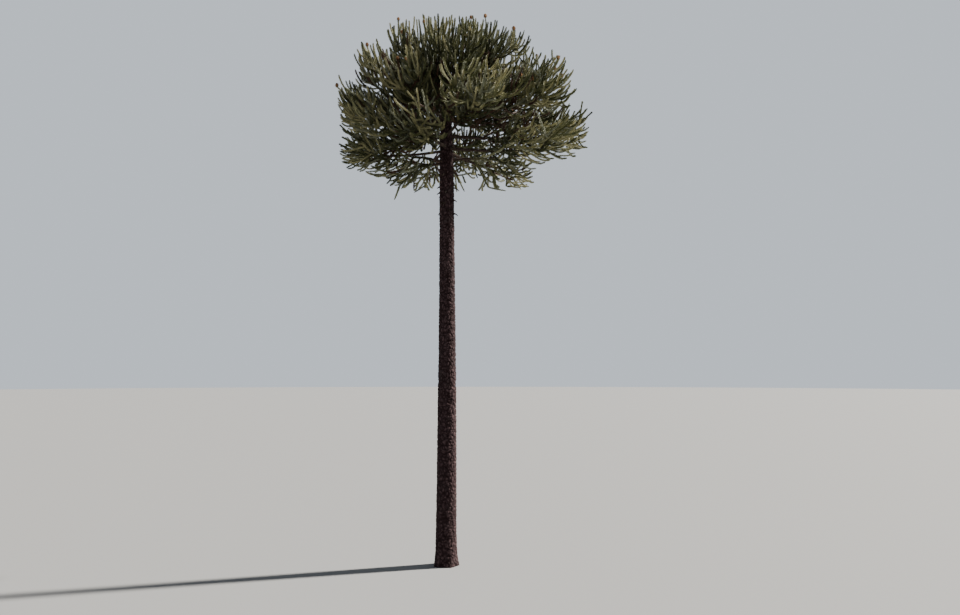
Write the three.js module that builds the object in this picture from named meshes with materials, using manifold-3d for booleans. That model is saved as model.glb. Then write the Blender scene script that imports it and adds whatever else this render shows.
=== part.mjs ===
// A tall monkey puzzle tree: one bare straight trunk under an umbrella of boughs, each bough ending in a
// mass of rope-like leafy shoots. Millimetres, +Z up. The origin is the centre of the flat cut at ground
// level; +X is the side where the crown reaches furthest, and the tree is looked at along +Y.
import * as THREE from "three";
import { mergeVertices } from "three/addons/utils/BufferGeometryUtils.js";
import Module from "manifold-3d";

const wasm = await Module();
wasm.setup();

// Driving dimensions of the trunk. Its radius falls from the ground to the tip through these waists.
const TRUNK_TOP = 25000;
const WAISTS = [
  { up: 0, radius: 512 },
  { up: 8200, radius: 455 },
  { up: 13500, radius: 395 },
  { up: 19500, radius: 355 },
  { up: 23000, radius: 270 },
  { up: TRUNK_TOP, radius: 85 },
];
const TRUNK_SIDES = 12;
const TRUNK_RINGS = 14;
const RINGS_TO_FOOT = 1.8;
const LEAN = -90;
const BOW = 70;

// The foot spreads into low buttresses, which fade out up the trunk over the flare's height.
const FLARE_HEIGHT = 480;
const FLARE_REACH = 110;
const BUTTRESSES = 5;
const BUTTRESS_DEPTH = 0.35;

// The bare stretch under the crown still carries the short dead stubs of shed boughs.
const STUBS = 9;
const STUB_FROM = 17500;
const STUB_TO = 20100;
const STUB_LENGTH = 330;
const STUB_RADIUS = 34;
const STUB_SUNK = 60;
const STUB_DROOP = 44;
const GOLDEN_TURN = 137.5;

// The crown, from its hanging skirt to its widest tiers and its top. Each tier is a whorl of boughs.
// up: height on the trunk; spread: how far up and down the trunk its boughs are scattered; reach: length of
// a whole limb, bough and stem, on the long side; rise and tip: its slope at the trunk and at its end;
// swing and apart: turn of the first bough and from each to the next, the skirt's between those of the tier
// over it; lift: from -1 for hanging shoots to 1 for upright ones. Angles are in degrees.
const TIERS = [
  { count: 4, up: 20300, spread: 200, reach: 2900, rise: 4, tip: -14, swing: 8, apart: 72, lift: -0.4 },
  { count: 5, up: 20950, spread: 300, reach: 5700, rise: -8, tip: 1, swing: -28, apart: 72, lift: 0 },
  { count: 5, up: 21700, spread: 300, reach: 6500, rise: -3, tip: 7, swing: 4, apart: 72, lift: 0.3 },
  { count: 5, up: 22500, spread: 300, reach: 5700, rise: 3, tip: 11, swing: -38, apart: 72, lift: 0.55 },
  { count: 4, up: 23200, spread: 300, reach: 4800, rise: 11, tip: 17, swing: 10, apart: 90, lift: 0.8 },
  { count: 4, up: 23800, spread: 250, reach: 3800, rise: 22, tip: 20, swing: -38, apart: 90, lift: 1 },
];
const SHORT_SIDE = 0.76;

// How far a limb may stray from its tier's values: degrees, and a share of its reach.
const STRAY = { turn: 9, rise: 4, tip: 5, sweep: 7, reach: 0.05 };

// A limb is a bare bough for its first steps and a leafy stem for the rest. A bough as long as
// FULL_BOUGH is BOUGH_RADIUS thick at the trunk, inside a collar.
const BOUGH_STEPS = 3;
const STEM_STEPS = 4;
const SLOPE_EASE = 1.3;
const BOUGH_RADIUS = 92;
const BOUGH_TIP_RADIUS = 56;
const BOUGH_SIDES = 5;
const COLLAR = 1.5;
const FULL_BOUGH = 6000;

// The crest: limbs too short to have a bare bough, which start at the trunk as leafy stems, and the leader
// that carries the trunk's line on.
const CREST = {
  count: 4, up: 24050, spread: 200, reach: 2200, rise: 42, tip: 34, swing: 8, apart: 90, lift: 1,
};
const CREST_ROOT_RADIUS = 36;
const LEADER = { reach: 500, lift: 1 };

// A mass: its stem, and where along it the shoots leave. STATION is their spacing.
const STEM_SIDES = 4;
const STEM_TIP_RADIUS = 36;
const STATION = 318;
const FIRST_STATION = 0.08;
const LAST_STATION = 0.9;

// Side shoots leave the stem left and right at an angle that closes towards its end. pull: how hard each
// step is drawn up or down.
const SIDE = { length: 1700, steps: 3, pull: 0.12, rootAngle: 64, tipAngle: 42, lowRoll: 60, highRoll: 100 };

// Ropes are the last shoots: on the side shoots, on the stem between them, and at its end.
const ROPE = { length: 1350, steps: 2, pull: 0.5, lowRoll: 30, highRoll: 110 };
const ROPES_PER_SIDE = 3;
const SIDE_ROPE_ANGLE = 50;
const STEM_ROPE_ANGLE = 56;
const STEM_ROPE_ROLL = 60;
const END_ROPES = 4;
const END_ROPE_ANGLE = 50;
const END_ROPE_PULL = 0.4;
const ROPE_RADIUS = 125;
const ROPE_SIDES = 3;
const ROPE_ROOT = 310;
const ROPE_TIP = 150;
const TIP_LIFT = 0.6;
const UPRIGHT = 0.7;

// A shoot that has no room is tried again, shorter and turned, and then left out. APART is the least
// distance between the lines of two shoots of one mass.
const TRIES = 5;
const RETRY_TURN = 70;
const RETRY_SHORTER = 0.92;
const APART = 240;

// Brown seed cones sit on the end of a shoot in every third mass.
const CONE_RADIUS = 105;
const CONE_EVERY = 3;

const GAP = 0.3;
const WELD = 1e-3;
const SLIVER = 0.02;
const CLEAR = 12;
const SEED = 33;

const UP = new THREE.Vector3(0, 0, 1);
const bark = new THREE.MeshStandardMaterial({ color: 0x4a3732, roughness: 0.95, metalness: 0 });
const limbBark = new THREE.MeshStandardMaterial({ color: 0x3d332c, roughness: 0.9, metalness: 0 });
const foliage = new THREE.MeshStandardMaterial({ color: 0x4c5424, roughness: 0.6, metalness: 0 });

// A number from 0 to 1 that depends only on the whole numbers given.
function chance(...keys) {
  let h = SEED;
  for (const key of keys) {
    h = Math.imul(h ^ (key + 0x9e3779b9), 0x85ebca6b) >>> 0;
    h = Math.imul(h ^ (h >>> 13), 0xc2b2ae35) >>> 0;
    h = (h ^ (h >>> 16)) >>> 0;
  }
  return h / 2 ** 32;
}

// The same, from -1 to 1.
const wobble = (...keys) => 2 * chance(...keys) - 1;

const mix = (a, b, share) => a + (b - a) * share;

const radians = THREE.MathUtils.degToRad;

// A closed mesh as a solid for joining and cutting.
function solidOf(geometry) {
  const bare = geometry.clone();
  bare.deleteAttribute("normal");
  bare.deleteAttribute("uv");
  const merged = mergeVertices(bare, WELD);
  const vertProperties = merged.attributes.position.array;
  const triVerts = new Uint32Array(merged.index.array);
  return new wasm.Manifold(new wasm.Mesh({ numProp: 3, vertProperties, triVerts }));
}

// A solid as a mesh that three.js can show.
function geometryOf(solid) {
  const mesh = solid.getMesh();
  const geometry = new THREE.BufferGeometry();
  geometry.setAttribute("position", new THREE.BufferAttribute(mesh.vertProperties, mesh.numProp));
  geometry.setIndex(new THREE.BufferAttribute(mesh.triVerts, 1));
  geometry.computeVertexNormals();
  return geometry;
}

// The largest closed body of a solid, without slivers: a hollow sealed by joining is filled, and a loose
// scrap is dropped.
function whole(solid) {
  const bodies = solidOf(geometryOf(solid.simplify(SLIVER))).decompose();
  return bodies.reduce((best, body) => (body.volume() > best.volume() ? body : best));
}

// A tube through rings of { at, along, radius }: a lathe's rows of points laid out ring by ring, square to
// each ring's direction. An end ring of no radius is a point. turn twists each ring against the one before
// it, in radians.
function tube(rings, sides, turn = 0) {
  const last = rings.length - 1;
  const rows = [{ place: 0, out: 0 }];
  rings.forEach((ring, place) => ring.radius && rows.push({ place, out: 1 }));
  rows.push({ place: last, out: 0 });
  const across = new THREE.Vector3(0.31, 0.17, 0.93).cross(rings[0].along).normalize();
  const frames = rings.map((ring) => {
    across.addScaledVector(ring.along, -across.dot(ring.along)).normalize();
    return { side: across.clone(), other: ring.along.clone().cross(across) };
  });
  const geometry = new THREE.LatheGeometry(rows.map((row, i) => new THREE.Vector2(row.out, i)), sides);
  const position = geometry.attributes.position;
  for (let i = 0; i < position.count; i++) {
    const { place, out } = rows[i % rows.length];
    const angle = (2 * Math.PI * Math.floor(i / rows.length)) / sides + turn * place;
    const { at, radius } = rings[place];
    const { side, other } = frames[place];
    const point = at.clone().addScaledVector(side, out * radius * Math.cos(angle));
    point.addScaledVector(other, out * radius * Math.sin(angle));
    position.setXYZ(i, point.x, point.y, point.z);
  }
  return solidOf(geometry);
}

// The trunk's radius at a height.
function trunkRadius(up) {
  const next = Math.max(1, WAISTS.findIndex((waist) => waist.up >= up));
  const [low, high] = [WAISTS[next - 1], WAISTS[next]];
  return mix(low.radius, high.radius, (up - low.up) / (high.up - low.up));
}

// The middle of the trunk at a height: a slight lean with a slight bow in it.
function trunkMiddle(up) {
  const share = up / TRUNK_TOP;
  return new THREE.Vector3(LEAN * share + BOW * Math.sin(Math.PI * share), 0, up);
}

// The trunk is a turned cylinder with its foot spread into low buttresses, and its rings closer together
// towards the foot. grown makes it fatter all over.
function trunkSolid(grown) {
  const geometry = new THREE.CylinderGeometry(1, 1, 1, TRUNK_SIDES, TRUNK_RINGS);
  const position = geometry.attributes.position;
  for (let i = 0; i < position.count; i++) {
    const up = (position.getY(i) + 0.5) ** RINGS_TO_FOOT * TRUNK_TOP;
    const angle = Math.atan2(position.getZ(i), position.getX(i));
    const onWall = Math.hypot(position.getX(i), position.getZ(i)) > WELD;
    const lobes = 1 + BUTTRESS_DEPTH * Math.cos(BUTTRESSES * angle);
    const flare = FLARE_REACH * Math.exp(-up / FLARE_HEIGHT) * lobes;
    const radius = onWall ? trunkRadius(up) + flare + grown : 0;
    const middle = trunkMiddle(up);
    position.setXYZ(i, middle.x + radius * Math.cos(angle), middle.y - radius * Math.sin(angle), up);
  }
  return solidOf(geometry);
}

// A direction from a turn about the trunk and a slope, both in degrees.
function heading(turn, slope) {
  const [a, e] = [radians(turn), radians(slope)];
  return new THREE.Vector3(Math.cos(a) * Math.cos(e), Math.sin(a) * Math.cos(e), Math.sin(e));
}

// A dead stub: a short tapered peg that bends down, sunk into the trunk.
function stubSolid(index) {
  const up = mix(STUB_FROM, STUB_TO, (index + 0.5 * chance(1, index)) / STUBS);
  const turn = index * GOLDEN_TURN + 25 * wobble(2, index);
  const length = STUB_LENGTH * mix(0.6, 1.3, chance(3, index)) + STUB_SUNK;
  const start = trunkMiddle(up).addScaledVector(heading(turn, 0), trunkRadius(up) - STUB_SUNK);
  const rings = [0, 0.5, 1].map((share) => ({
    at: start.clone().addScaledVector(heading(turn, -0.6 * STUB_DROOP * share), length * share),
    along: heading(turn, -STUB_DROOP * share),
    radius: STUB_RADIUS * mix(1.25, 0.4, share),
  }));
  return tube(rings, ROPE_SIDES);
}

// How far the crown reaches that way, against its long side.
const sideShare = (turn) => mix(SHORT_SIDE, 1, (1 + Math.cos(radians(turn))) / 2);

// A whorl's limbs. Each is a line from the trunk's middle to its end, as rings of { at, along } at even
// steps. bend is the step at which its bough ends and its leafy stem starts.
function whorl(tier, firstKey, bend) {
  const steps = bend + STEM_STEPS;
  return Array.from({ length: tier.count }, (_, i) => {
    const key = firstKey + i;
    const turn = tier.swing + tier.apart * i + STRAY.turn * wobble(5, key);
    const reach = tier.reach * sideShare(turn) * (1 + STRAY.reach * wobble(7, key));
    const rise = tier.rise + STRAY.rise * wobble(8, key);
    const tip = tier.tip + STRAY.tip * wobble(9, key);
    const at = trunkMiddle(tier.up + tier.spread * (chance(6, key) - 0.5));
    const line = [];
    for (let step = 0; step <= steps; step++) {
      const share = step / steps;
      const along = heading(turn + STRAY.sweep * wobble(4, key) * share, mix(rise, tip, share ** SLOPE_EASE));
      line.push({ at: at.clone(), along });
      at.addScaledVector(along, reach / steps);
    }
    return { key, line, bend, reach, lift: tier.lift, root: bend ? BOUGH_TIP_RADIUS : CREST_ROOT_RADIUS };
  });
}

// The leader: a short upright stem that stands on the trunk's tip.
function leader(key) {
  const line = Array.from({ length: STEM_STEPS + 1 }, (_, step) => ({
    at: trunkMiddle(TRUNK_TOP).addScaledVector(UP, (LEADER.reach * step) / STEM_STEPS),
    along: UP.clone(),
  }));
  return { key, line, bend: 0, reach: LEADER.reach, lift: LEADER.lift, root: trunkRadius(TRUNK_TOP) };
}

const boughLimbs = [];
for (const tier of TIERS) boughLimbs.push(...whorl(tier, boughLimbs.length, BOUGH_STEPS));
const crestLimbs = whorl(CREST, boughLimbs.length, 0);
const topLimb = leader(boughLimbs.length + CREST.count);
const allLimbs = [...boughLimbs, ...crestLimbs, topLimb];

// How thick a limb's bough is at a share of its own length, with a collar where it leaves the trunk.
function boughRadius(limb, share) {
  const stout = BOUGH_RADIUS * Math.sqrt(limb.reach / FULL_BOUGH);
  return mix(stout, BOUGH_TIP_RADIUS, share) * (share === 0 ? COLLAR : 1);
}

// The distance from a point to a line, between two of its rings.
function distanceTo(point, line, first = 0, last = line.length - 1) {
  const segment = new THREE.Line3();
  const nearest = new THREE.Vector3();
  let least = Infinity;
  for (let i = first; i < last; i++) {
    segment.set(line[i].at, line[i + 1].at).closestPointToPoint(point, true, nearest);
    least = Math.min(least, nearest.distanceTo(point));
  }
  return least;
}

// The length of a line.
function lineLength(line) {
  return line.slice(1).reduce((sum, ring, i) => sum + ring.at.distanceTo(line[i].at), 0);
}

// Whether a ball at a point keeps to its mass's own space: nearer its own stem than any other by more than
// its own width, and clear of the trunk, its stubs and every bough.
function keepsToSpace(point, radius, limb) {
  const room = radius + CLEAR;
  const up = Math.min(point.z, TRUNK_TOP);
  const middle = trunkMiddle(up);
  const out = Math.hypot(point.x - middle.x, point.y - middle.y);
  const stubs = point.z < STUB_TO + STUB_LENGTH ? STUB_LENGTH : 0;
  if (point.z < TRUNK_TOP + room && out < trunkRadius(up) + stubs + room) return false;
  const own = distanceTo(point, limb.line, limb.bend);
  return allLimbs.every((other) => {
    const toBough = other.bend ? distanceTo(point, other.line, 0, other.bend) : Infinity;
    if (toBough < BOUGH_RADIUS * COLLAR + room) return false;
    if (other === limb) return true;
    return distanceTo(point, other.line, other.bend) - own > 2 * room;
  });
}

// A leafy shoot grown step by step, as { at, along } rings. It comes to nothing if it would leave its
// mass's space or run into one of the mass's other shoots.
function shootLine(limb, others, root, way, { length, steps, pull }) {
  const line = [{ at: root.clone(), along: way.clone() }];
  const at = root.clone();
  const along = way.clone();
  const fits = (point, radius) =>
    keepsToSpace(point, radius, limb) && others.every((other) => distanceTo(point, other) > APART);
  for (let i = 1; i <= steps; i++) {
    along.addScaledVector(UP, pull * mix(limb.lift, limb.lift + TIP_LIFT, i / steps)).normalize();
    const step = i === 1 ? ROPE_ROOT : (length - ROPE_ROOT - ROPE_TIP) / (steps - 1);
    const middle = at.clone().addScaledVector(along, step / 2);
    at.addScaledVector(along, step);
    if (!fits(at, ROPE_RADIUS) || (i > 1 && !fits(middle, ROPE_RADIUS))) return null;
    line.push({ at: at.clone(), along: along.clone() });
  }
  return fits(at.addScaledVector(along, ROPE_TIP), 0) ? line : null;
}

// The shoot itself: a three-sided rope from a pointed root to a blunt end. Each ring is turned against the
// one before it, so that the facets cross like whorls of leaves.
function rope(line) {
  const end = line[line.length - 1];
  const rings = line.map((ring, i) => ({ ...ring, radius: i ? ROPE_RADIUS : 0 }));
  rings.push({ at: end.at.clone().addScaledVector(end.along, ROPE_TIP), along: end.along, radius: 0 });
  return tube(rings, ROPE_SIDES, Math.PI / ROPE_SIDES);
}

// A way that leaves a parent shoot at an angle, turned about it by roll from straight up.
function leaving(along, angle, roll) {
  const side = UP.clone().cross(along);
  if (side.length() < 0.01) side.set(1, 0, 0);
  side.normalize();
  const top = along.clone().cross(side);
  const [a, r] = [radians(angle), radians(roll)];
  const way = along.clone().multiplyScalar(Math.cos(a));
  way.addScaledVector(top, Math.sin(a) * Math.cos(r));
  way.addScaledVector(side, Math.sin(a) * Math.sin(r));
  return way.normalize();
}

// The point and direction at a share of a line.
function placeOn(line, share) {
  const place = share * (line.length - 1);
  const i = Math.min(line.length - 2, Math.floor(place));
  const at = line[i].at.clone().lerp(line[i + 1].at, place - i);
  return { at, way: line[i].along.clone().lerp(line[i + 1].along, place - i).normalize() };
}

// The lines of a mass's shoots: by turns a side shoot with its ropes, and a rope on the stem itself, then
// the ropes at the stem's end.
function shootLines(limb) {
  const { key, lift } = limb;
  const stem = limb.line.slice(limb.bend);
  const lines = [stem];
  const grow = (parent, share, angle, roll, shoot) => {
    const root = placeOn(parent, share);
    const others = lines.filter((line) => line !== parent);
    for (let i = 0; i < TRIES; i++) {
      const turned = roll + (i ? RETRY_TURN * wobble(18, key, lines.length, i) : 0);
      const tried = { ...shoot, length: shoot.length * RETRY_SHORTER ** i };
      const line = shootLine(limb, others, root.at, leaving(root.way, angle, turned), tried);
      if (!line) continue;
      lines.push(line);
      return line;
    }
    return null;
  };
  const stations = Math.max(2, Math.round(lineLength(stem) / STATION));
  for (let i = 0; i < stations; i++) {
    const share = mix(FIRST_STATION, LAST_STATION, i / (stations - 1));
    const hand = (i + key) % 4 < 2 ? 1 : -1;
    if (i % 2) {
      const hangs = lift < 0 || (lift < UPRIGHT && i % 4 === 3);
      const roll = (hangs ? 180 : 0) + hand * STEM_ROPE_ROLL * chance(14, key, i);
      grow(stem, share, STEM_ROPE_ANGLE, roll, ROPE);
      continue;
    }
    const angle = mix(SIDE.rootAngle, SIDE.tipAngle, share);
    const roll = hand * mix(SIDE.lowRoll, SIDE.highRoll, chance(10, key, i));
    const length = SIDE.length * mix(1.05, 0.7, share) * (1 + 0.1 * wobble(11, key, i));
    const side = grow(stem, share, angle, roll, { ...SIDE, length });
    for (let j = 0; side && j < ROPES_PER_SIDE; j++) {
      const ropeRoll = (j % 2 ? 1 : -1) * mix(ROPE.lowRoll, ROPE.highRoll, chance(12, key, i, j));
      const ropeLength = ROPE.length * (1 + 0.15 * wobble(13, key, i, j));
      const ropeShare = mix(0.45, 0.95, j / (ROPES_PER_SIDE - 1));
      grow(side, ropeShare, SIDE_ROPE_ANGLE, ropeRoll, { ...ROPE, length: ropeLength });
    }
  }
  for (let i = 0; i < END_ROPES; i++) {
    const roll = (360 / END_ROPES) * (i + chance(15, key));
    const length = ROPE.length * (1 + 0.12 * wobble(16, key, i));
    const angle = i ? END_ROPE_ANGLE : END_ROPE_ANGLE / 6;
    grow(stem, 0.97, angle, roll, { ...ROPE, length, pull: END_ROPE_PULL });
  }
  return lines.slice(1);
}

// A mass of foliage: its stem, with its shoots fused on and sometimes a cone. The stem starts just clear
// of the bough or the trunk's tip that it stands on. A crest limb's stem starts inside the trunk, and is
// cut back to just clear of it.
function massSolid(limb) {
  const onTrunk = crestLimbs.includes(limb);
  const stemRings = limb.line.slice(limb.bend).map((ring, i) => ({
    at: ring.at.clone().addScaledVector(ring.along, i === 0 && !onTrunk ? GAP : 0),
    along: ring.along,
    radius: mix(limb.root, STEM_TIP_RADIUS, i / STEM_STEPS),
  }));
  const lines = shootLines(limb);
  const solids = [tube(stemRings, STEM_SIDES), ...lines.map(rope)];
  if (limb.key % CONE_EVERY === 0 && lines.length) {
    const end = lines[Math.floor(chance(17, limb.key) * lines.length)].at(-1);
    const at = end.at.clone().addScaledVector(end.along, ROPE_TIP / 2);
    const cone = new THREE.SphereGeometry(CONE_RADIUS, 6, 4).translate(at.x, at.y, at.z);
    if (keepsToSpace(at, CONE_RADIUS, limb)) solids.push(solidOf(cone));
  }
  const joined = solids.reduce((sum, solid) => sum.add(solid));
  return whole(onTrunk ? joined.subtract(trunkGrown) : joined);
}

// A bough: one tapering limb, cut just clear of the trunk.
function boughSolid(limb) {
  const rings = limb.line.slice(0, limb.bend + 1).map((ring, i) => ({
    ...ring,
    radius: boughRadius(limb, i / limb.bend),
  }));
  return whole(tube(rings, BOUGH_SIDES).subtract(trunkGrown));
}

const trunkGrown = trunkSolid(GAP);
const stubs = Array.from({ length: STUBS }, (_, i) => stubSolid(i));
const tree = new THREE.Group();

function addNode(name, solid, material) {
  const mesh = new THREE.Mesh(geometryOf(solid), material);
  mesh.name = name;
  tree.add(mesh);
}

const numbered = (name, key) => `${name}_${String(key + 1).padStart(2, "0")}`;
addNode("trunk", stubs.reduce((sum, stub) => sum.add(stub), trunkSolid(0)), bark);
for (const limb of boughLimbs) addNode(numbered("bough", limb.key), boughSolid(limb), limbBark);
for (const limb of allLimbs) addNode(numbered("foliage", limb.key), massSolid(limb), foliage);

export default tree;
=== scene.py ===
# A tall monkey puzzle tree in a plain studio: one bare straight trunk under an umbrella of boughs, each
# ending in sprays of rope-like shoots clad in stiff scale leaves. Metres, +Z up.
import math

import bmesh
import bpy
import numpy as np
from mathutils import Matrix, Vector, noise


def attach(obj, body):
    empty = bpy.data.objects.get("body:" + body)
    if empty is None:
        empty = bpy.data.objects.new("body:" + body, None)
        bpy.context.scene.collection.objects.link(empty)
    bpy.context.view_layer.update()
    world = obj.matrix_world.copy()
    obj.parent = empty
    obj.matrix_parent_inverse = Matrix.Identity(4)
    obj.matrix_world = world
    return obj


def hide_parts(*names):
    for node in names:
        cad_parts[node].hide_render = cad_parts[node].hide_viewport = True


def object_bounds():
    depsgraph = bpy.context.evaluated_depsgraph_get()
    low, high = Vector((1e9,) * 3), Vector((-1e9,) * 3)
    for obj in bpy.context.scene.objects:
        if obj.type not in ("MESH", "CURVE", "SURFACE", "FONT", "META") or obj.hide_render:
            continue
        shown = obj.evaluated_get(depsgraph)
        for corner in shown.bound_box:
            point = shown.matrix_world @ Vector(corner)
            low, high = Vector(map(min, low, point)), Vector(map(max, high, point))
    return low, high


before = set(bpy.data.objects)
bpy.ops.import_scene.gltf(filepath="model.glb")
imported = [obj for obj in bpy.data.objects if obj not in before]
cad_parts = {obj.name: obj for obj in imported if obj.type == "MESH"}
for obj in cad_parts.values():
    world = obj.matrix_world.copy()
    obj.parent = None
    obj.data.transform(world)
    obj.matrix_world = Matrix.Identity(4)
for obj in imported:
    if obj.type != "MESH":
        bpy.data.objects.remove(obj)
cad_low, cad_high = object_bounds()

# The camera stands 43 m from the trunk at a third of the tree's height and looks slightly up, with the
# trunk a little left of the middle of a 960 by 615 picture.
EYE = (0, -43.05, 9.66)
PITCH = math.radians(4.205)
YAW = math.radians(2.25)
FOCAL_PIXELS = 850
PICTURE_WIDTH = 960
SENSOR_MM = 36


def put_in_scene(name, data):
    """An object at the origin that shows this data."""
    obj = bpy.data.objects.new(name, data)
    bpy.context.scene.collection.objects.link(obj)
    return obj


def aim(obj, way):
    """Turn a camera or a light to look along a way."""
    obj.rotation_euler = Vector(way).to_track_quat("-Z", "Y").to_euler()


camera = put_in_scene("camera", bpy.data.cameras.new("camera"))
camera.data.sensor_width = SENSOR_MM
camera.data.lens = SENSOR_MM * FOCAL_PIXELS / PICTURE_WIDTH
camera.data.clip_end = 1000
camera.location = EYE
aim(camera, (math.sin(YAW) * math.cos(PITCH), math.cos(YAW) * math.cos(PITCH), math.sin(PITCH)))
bpy.context.scene.camera = camera

# The studio: a wide pale floor, and a pale backdrop all round that dims towards a dark ceiling. The key
# light comes from the right and a little behind, as high as an afternoon sun, and a weak fill from the
# front left.
FLOOR_RADIUS = 450
FLOOR_ROUGHNESS = 0.9
FLOOR_COLOUR = (0.22, 0.22, 0.218, 1)
BACKDROP_COLOUR = (0.66, 0.72, 0.79, 1)
CEILING_COLOUR = (0.08, 0.09, 0.11, 1)
BACKDROP_TOP = 25
CEILING_FROM = 38
KEY = {"way": (-0.80, -0.22, -0.62), "energy": 16.5, "angle": 3, "colour": (1, 0.955, 0.88)}
FILL = {"way": (0.55, 0.80, -0.30), "energy": 0.1, "angle": 60, "colour": (0.86, 0.92, 1)}


def sun(name, light):
    """A distant soft light."""
    lamp = bpy.data.lights.new(name, "SUN")
    lamp.energy = light["energy"]
    lamp.angle = math.radians(light["angle"])
    lamp.color = light["colour"]
    aim(put_in_scene(name, lamp), light["way"])


def new_material(name, roughness):
    """A material, its nodes, a function that links two sockets, and its shader."""
    material = bpy.data.materials.new(name)
    material.use_nodes = True
    nodes = material.node_tree.nodes
    shader = nodes["Principled BSDF"]
    shader.inputs["Roughness"].default_value = roughness
    return material, nodes, material.node_tree.links.new, shader


def add_node(nodes, kind, values):
    """A shader node with these values on its sockets."""
    node = nodes.new(kind)
    for socket, value in values.items():
        node.inputs[socket].default_value = value
    return node


def colour_blend(nodes, colours):
    """A node that blends from colour A to colour B."""
    blend = nodes.new("ShaderNodeMix")
    blend.data_type = "RGBA"
    for socket, colour in colours.items():
        blend.inputs[socket].default_value = colour
    return blend


sun("key_light", KEY)
sun("fill_light", FILL)
world = bpy.data.worlds.new("backdrop")
bpy.context.scene.world = world
world.use_nodes = True
nodes = world.node_tree.nodes
link = world.node_tree.links.new
split = nodes.new("ShaderNodeSeparateXYZ")
dimming = add_node(nodes, "ShaderNodeMapRange", {"From Min": math.sin(math.radians(BACKDROP_TOP)),
                                                 "From Max": math.sin(math.radians(CEILING_FROM))})
dimming.interpolation_type = "SMOOTHSTEP"
shade = colour_blend(nodes, {"A": BACKDROP_COLOUR, "B": CEILING_COLOUR})
link(nodes.new("ShaderNodeTexCoord").outputs["Generated"], split.inputs["Vector"])
link(split.outputs["Z"], dimming.inputs["Value"])
link(dimming.outputs["Result"], shade.inputs["Factor"])
link(shade.outputs["Result"], nodes["Background"].inputs["Color"])

shape = bmesh.new()
bmesh.ops.create_circle(shape, cap_ends=True, segments=96, radius=FLOOR_RADIUS)
floor_mesh = bpy.data.meshes.new("floor")
shape.to_mesh(floor_mesh)
shape.free()
floor_material, _, _, floor_shader = new_material("pale_floor", FLOOR_ROUGHNESS)
floor_shader.inputs["Base Color"].default_value = FLOOR_COLOUR
floor_mesh.materials.append(floor_material)
put_in_scene("floor", floor_mesh)

# The trunk is one straight bole, cut flat at ground level, with low buttresses round its foot. Its thick
# bark is broken into many-sided plates, pinkish grey on their faces, and its crevices are painted a darker
# red-brown the farther in, as painted shade; faint rings mark where whorls of boughs were shed.
TRUNK_TOP = 25.0
WAIST_HEIGHTS = (0, 8.2, 13.5, 19.5, 23.0, TRUNK_TOP)
WAIST_RADII = (0.512, 0.455, 0.395, 0.355, 0.270, 0.085)
LEAN = -0.09
BOW = 0.07
FLARE_HEIGHT = 0.48
FLARE_REACH = 0.11
BUTTRESSES = 5
BUTTRESS_DEPTH = 0.35
BARK_SEED = 33
TRUNK_SIDES = 96
TRUNK_CUTS = 880
PLATE = 0.16
PLATE_STRETCH = 1.2
PLATE_WARP = 0.09
PLATE_WARP_SCALE = 4
PLATE_TONES = 3.7
BARK_PROUD = 0.022
CREVICE_SHARE = 0.30
CREVICE_DEPTH = 0.034
PLATE_STEP = 0.020
CRACK = 0.06
CRACK_DEPTH = 0.006
CRACK_SHADE = 0.35
SCAR_EVERY = 0.46
SCAR_WIDTH = 0.035
SCAR_DEPTH = 0.010
SCAR_STRAY = 0.05
SCAR_STRAY_SCALE = 1.3
FULL_RELIEF_RADIUS = 0.30
BARK_DARK = (0.023, 0.013, 0.014, 1)
BARK_PALE = (0.092, 0.057, 0.058, 1)
# The colour of the crevices is painted shade, laid into the bark's recesses.
BARK_CREVICE_SHADE = (0.012, 0.005, 0.005, 1)
BARK_LICHEN = (0.038, 0.031, 0.029, 1)
BARK_ROUGHNESS = 0.93
BARK_GLOSS = 0.12
BARK_GRAIN = 7


def trunk_radius(up):
    """The trunk's radius at a height, or at each height of an array."""
    return np.interp(up, WAIST_HEIGHTS, WAIST_RADII)


def trunk_middle(up):
    """The middle of the trunk at a height: a slight lean with a slight bow in it."""
    share = up / TRUNK_TOP
    return np.array((LEAN * share + BOW * math.sin(math.pi * share), 0, up))


def smooth_step(value, low, high):
    """0 below low, 1 above high, and eased between."""
    share = min(1, max(0, (value - low) / (high - low)))
    return share * share * (3 - 2 * share)


def bark_relief(place):
    """How far the trunk's bark stands proud at a place, how far into the crevices it lies, which also sets
    the painted shade there, and its plate.
    """
    warped = place + PLATE_WARP * noise.noise_vector(place * PLATE_WARP_SCALE)
    warped.z /= PLATE_STRETCH
    apart, plates = noise.voronoi(warped / PLATE)
    crevice_and_shade = 1 - smooth_step(apart[1] - apart[0], 0, CREVICE_SHARE)
    cracks, _ = noise.voronoi(warped / CRACK)
    crack = 1 - smooth_step(cracks[1] - cracks[0], 0, CREVICE_SHARE)
    plate = 0.5 + 0.5 * noise.noise(plates[0] * PLATE_TONES)
    scar = (place.z + SCAR_STRAY * noise.noise(place * SCAR_STRAY_SCALE)) % SCAR_EVERY / SCAR_WIDTH - 1
    proud = BARK_PROUD + PLATE_STEP * (plate - 0.5) - CREVICE_DEPTH * crevice_and_shade - CRACK_DEPTH * crack
    proud -= SCAR_DEPTH * math.exp(-scar * scar)
    # The crevices' share, with a little from the cracks, is also the mask of the painted shade in the bark's
    # colour.
    return proud, max(crevice_and_shade, CRACK_SHADE * crack), plate


def upright_edges(bm):
    """The edges that run up the side of an upright cylinder."""
    return [edge for edge in bm.edges if abs(edge.verts[0].co.z - edge.verts[1].co.z) > 1e-6]


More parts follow.
